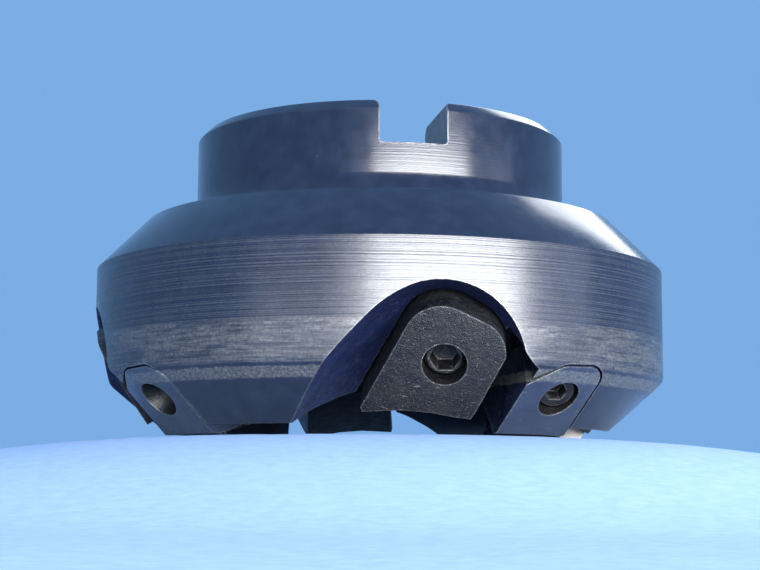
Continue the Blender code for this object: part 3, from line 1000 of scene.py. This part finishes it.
def turning_lines(tree, spot):
    z, radius = surface_reach(tree, spot)
    band = maths(tree, "MULTIPLY", span(tree, z, 25.2, 24.8), span(tree, z, 8.2, 8.8))
    amount = maths(tree, "ADD", maths(tree, "MULTIPLY", band, 0.45), 0.1)
    lines = maths(tree, "MULTIPLY", turned_line(tree, z, radius), amount)
    pits = maths(tree, "MULTIPLY", noise(tree, spot, 2.2, 5.0, 0.7), worn_lip(tree, spot, z))
    pits = maths(tree, "MULTIPLY", pits, maths(tree, "MULTIPLY", span(tree, radius, *OUTER_R), 4.0))
    grit = maths(tree, "MULTIPLY", noise(tree, spot, 5.0, 3.0), 0.25)
    return maths(tree, "ADD", maths(tree, "ADD", lines, grit), pits)


def rough_wear(edge_amount, speck_low):
    def wear(tree, spot):
        broken = speckle(tree, spot, 0.8, 0.3, 0.65)
        edges = maths(tree, "MULTIPLY", edge_mask(tree, 0.4, 0.01, 0.12), broken)
        specks = speckle(tree, spot, 4.2, speck_low + 0.03, speck_low + 0.10)
        specks = maths(tree, "MULTIPLY", specks, 0.8)
        marks = maths(tree, "MULTIPLY", scratches(tree, spot, (0.4, 3.5, 2.0), 0.68, 0.74), 0.4)
        edges = maths(tree, "MULTIPLY", edges, edge_amount)
        total = maths(tree, "ADD", edges, maths(tree, "ADD", specks, marks))
        return node(tree, "ShaderNodeClamp", {"Value": total}).outputs[0]

    return wear


def grit_height(coarse, fine):
    def height(tree, spot):
        big = maths(tree, "MULTIPLY", noise(tree, spot, 0.9, 4.0, 0.6), coarse)
        small = maths(tree, "MULTIPLY", noise(tree, spot, 5.0, 3.0, 0.6), fine)
        return maths(tree, "ADD", big, small)

    return height


def chatter_height(tree, spot):
    """Marks across a wall, left by the cutter that made the keyway."""
    marks = noise(tree, stretched(tree, spot, (0.2, 2.8, 0.12)), 1.0, 3.0, 0.6)
    return maths(tree, "ADD", maths(tree, "MULTIPLY", marks, 14.0), noise(tree, spot, 4.0))


def ground_height(tree, spot):
    lines = noise(tree, stretched(tree, spot, (5.0, 5.0, 0.6)), 1.0, 3.0, 0.6)
    swell = maths(tree, "MULTIPLY", noise(tree, spot, 1.1), 1.2)
    return maths(tree, "ADD", maths(tree, "MULTIPLY", lines, 0.4), swell)


def locator_wear(tree, spot):
    z, _ = surface_reach(tree, spot)
    lip = maths(tree, "MULTIPLY", worn_lip(tree, spot, z), 0.9)
    total = maths(tree, "ADD", rough_wear(0.9, 0.62)(tree, spot), lip)
    return node(tree, "ShaderNodeClamp", {"Value": total}).outputs[0]


def make_materials():
    coat = ((0.006, 0.008, 0.020), (0.010, 0.014, 0.030))
    bare = ((0.15, 0.145, 0.135), (0.34, 0.33, 0.31))
    return {
        "turned": steel(
            "blackened_turned", coat, bare, turned_wear, turning_lines, depth=0.03, matt=band_matt,
        ),
        "gullet": steel(
            "blackened_milled", ((0.005, 0.009, 0.034), (0.008, 0.014, 0.052)), bare,
            rough_wear(0.9, 0.56), grit_height(3.0, 1.6), (0.32, 0.5), depth=0.04, ior=1.35,
        ),
        # The pockets get a darker coat than the outside of the body: blackened steel with painted
        # shade in the pockets.
        "pocket": steel(
            "blackened_pocket_painted_shade", ((0.004, 0.005, 0.010), (0.007, 0.009, 0.018)), bare,
            rough_wear(0.5, 0.66), grit_height(1.2, 0.6), (0.3, 0.5),
        ),
        "keyway": steel(
            "keyway_walls", coat, bare, rough_wear(0.9, 0.62), chatter_height, depth=0.12,
        ),
        # The wedge's near-black coat is its own dark finish, made darker still as painted shade on
        # the wedge.
        "wedge": steel(
            "cast_wedge_painted_shade", ((0.0015, 0.0015, 0.003), (0.006, 0.0055, 0.006)), bare,
            rough_wear(0.8, 0.58), grit_height(4.5, 3.2), (0.36, 0.6), depth=0.045, ior=1.5,
        ),
        # The screw finish is dark steel made darker as painted shade for the hex sockets; it also
        # paints the bore walls of wedges and locators as painted shade inside the bores.
        "screw": steel(
            "dark_screw_painted_shade", ((0.003, 0.003, 0.004), (0.008, 0.007, 0.007)), bare,
            rough_wear(1.0, 0.58), grit_height(1.6, 1.2), (0.3, 0.5), depth=0.05, ior=1.5,
        ),
        "locator": steel(
            "ground_locator", ((0.006, 0.009, 0.024), (0.012, 0.016, 0.036)), bare,
            locator_wear, ground_height, (0.16, 0.28), ior=2.0,
        ),
        # The carbide is lighter than its own grey: painted light on the insert, which sits in
        # shadow.
        "carbide": steel(
            "carbide_grey_and_painted_light", ((0.32, 0.30, 0.27), (0.50, 0.47, 0.42)),
            ((0.44, 0.43, 0.41), (0.60, 0.58, 0.55)),
            rough_wear(0.5, 0.55), grit_height(0.6, 0.5), (0.3, 0.45), ior=2.0,
        ),
    }


# Floor, lights and camera


def make_floor():
    """Plain pale floor that falls away gently on all sides of the spot the object stands on.

    The camera is slightly below the object's base, as in the photograph, so a level floor
    would hide the object.
    """
    work = bmesh.new()
    half = FLOOR_SIZE / 2.0
    bmesh.ops.create_grid(work, x_segments=FLOOR_CELLS, y_segments=FLOOR_CELLS, size=half)
    for corner in work.verts:
        reach = max(math.hypot(corner.co.x, corner.co.y) - FLOOR_LEVEL_RADIUS, 0.0)
        fall = min(reach / FLOOR_SHOULDER, 1.0)
        ease = fall * fall * (3.0 - 2.0 * fall)
        corner.co.z = FLOOR_TOP - FLOOR_DROP * ease - FLOOR_SLOPE * reach
    mesh = bpy.data.meshes.new("floor")
    work.to_mesh(mesh)
    work.free()
    mesh.shade_smooth()
    floor = bpy.data.objects.new("floor", mesh)
    bpy.context.scene.collection.objects.link(floor)
    finish = bpy.data.materials.new("floor")
    finish.use_nodes = True
    tree = finish.node_tree
    shader = tree.nodes["Principled BSDF"]
    spot = millimetres(tree)
    weave = noise(tree, spot, FLOOR_WEAVE, 5.0)
    colour = mix_colour(tree, span(tree, weave, 0.3, 0.7), FLOOR_PALE, FLOOR_PALER)
    tree.links.new(colour, shader.inputs["Base Color"])
    shader.inputs["Roughness"].default_value = 0.9
    bump = node(tree, "ShaderNodeBump", {"Strength": 0.3, "Distance": 0.0002, "Height": weave})
    tree.links.new(bump.outputs[0], shader.inputs["Normal"])
    floor.data.materials.append(finish)


def make_world():
    """Soft pale light of one colour from all round."""
    world = bpy.data.worlds.new("studio")
    bpy.context.scene.world = world
    world.use_nodes = True
    background = world.node_tree.nodes["Background"]
    background.inputs["Color"].default_value = (*ROOM_PALE, 1.0)
    background.inputs["Strength"].default_value = 1.0


def make_light(name, azimuth, tilt, distance, width, height, radiance, colour):
    data = bpy.data.lights.new(name, "AREA")
    data.shape = "RECTANGLE"
    data.size = width
    data.size_y = height
    data.energy = radiance * math.pi * width * height
    data.color = colour
    lamp = bpy.data.objects.new(name, data)
    bpy.context.scene.collection.objects.link(lamp)
    lamp.location = direction(azimuth + CAMERA_TURN, tilt) * distance
    lamp.rotation_euler = (-lamp.location).to_track_quat("-Z", "Y").to_euler()
    lamp.visible_camera = False


def make_camera():
    data = bpy.data.cameras.new("camera")
    data.lens = CAMERA_LENS
    data.sensor_width = CAMERA_SENSOR
    data.clip_start = 0.01
    camera = bpy.data.objects.new("camera", data)
    bpy.context.scene.collection.objects.link(camera)
    aim = Matrix.Rotation(math.radians(90.0 + CAMERA_RISE), 4, "X")
    roll = Matrix.Rotation(math.radians(CAMERA_ROLL), 4, "Z")
    turn = Matrix.Rotation(math.radians(CAMERA_TURN), 4, "Z")
    camera.matrix_world = turn @ Matrix.Translation(CAMERA_PLACE) @ aim @ roll
    bpy.context.scene.camera = camera


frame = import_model()
finishes = make_materials()
make_body([finishes[kind] for kind in ("turned", "gullet", "pocket", "keyway")])
for station in range(STATIONS):
    make_wedge(station, finishes["wedge"], finishes["screw"])
    make_wedge_screw(station, finishes["screw"])
    make_locator(station, finishes["locator"], finishes["screw"])
    make_locator_screw(station, finishes["screw"])
make_insert(finishes["carbide"])
make_floor()
make_world()
for light in LIGHTS:
    make_light(*light)
make_camera()
bpy.context.scene.view_settings.view_transform = "Standard"
